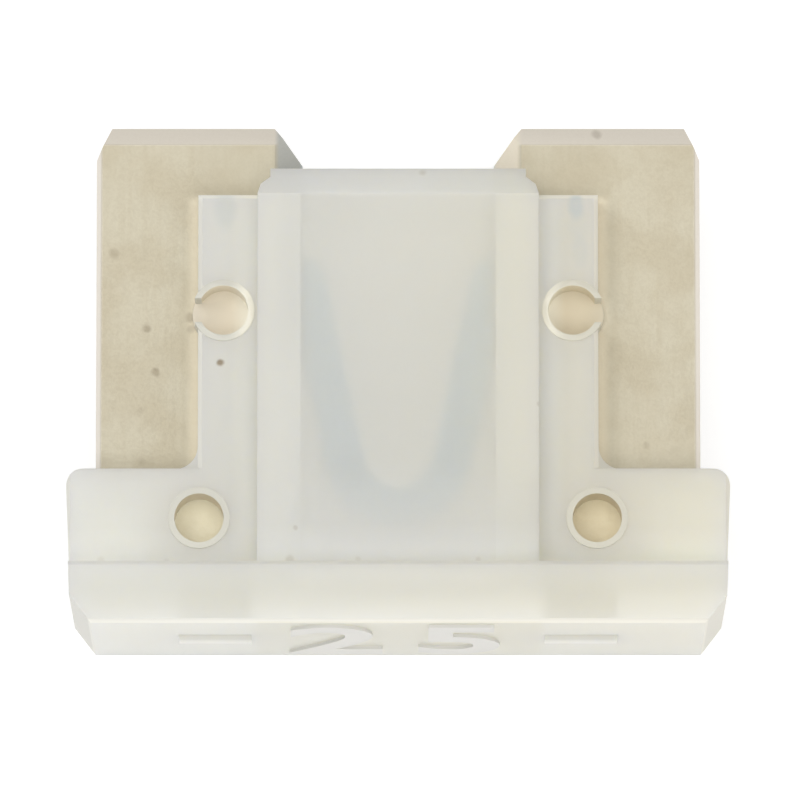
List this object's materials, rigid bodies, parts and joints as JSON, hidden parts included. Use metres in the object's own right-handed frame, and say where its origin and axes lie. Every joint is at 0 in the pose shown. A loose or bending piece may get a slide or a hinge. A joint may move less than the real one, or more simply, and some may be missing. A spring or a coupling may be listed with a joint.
{
  "type": "automotive blade fuse",
  "caption": "Low-profile mini blade fuse: translucent moulded body with flat blades on a stamped element and a thin V-shaped link in a hollow chamber.",
  "frame": {"origin": "on the resting broad side, under the middle of the part's box", "axes": "+X across both blades, +Y from the head's end face towards the blade tips, +Z through the thickness, up from the resting side"},
  "size_m": [0.011, 0.0086, 0.0038],
  "materials": {
    "housing_plastic": "milky translucent moulding, satin gloss, no pigment",
    "element_metal": "tin-plated zinc alloy strip, matte, with a bare blue-grey thin middle"
  },
  "bodies": {
    "root": {"housing": "housing_plastic", "fuse_element": "element_metal"}
  },
  "joints": []
}
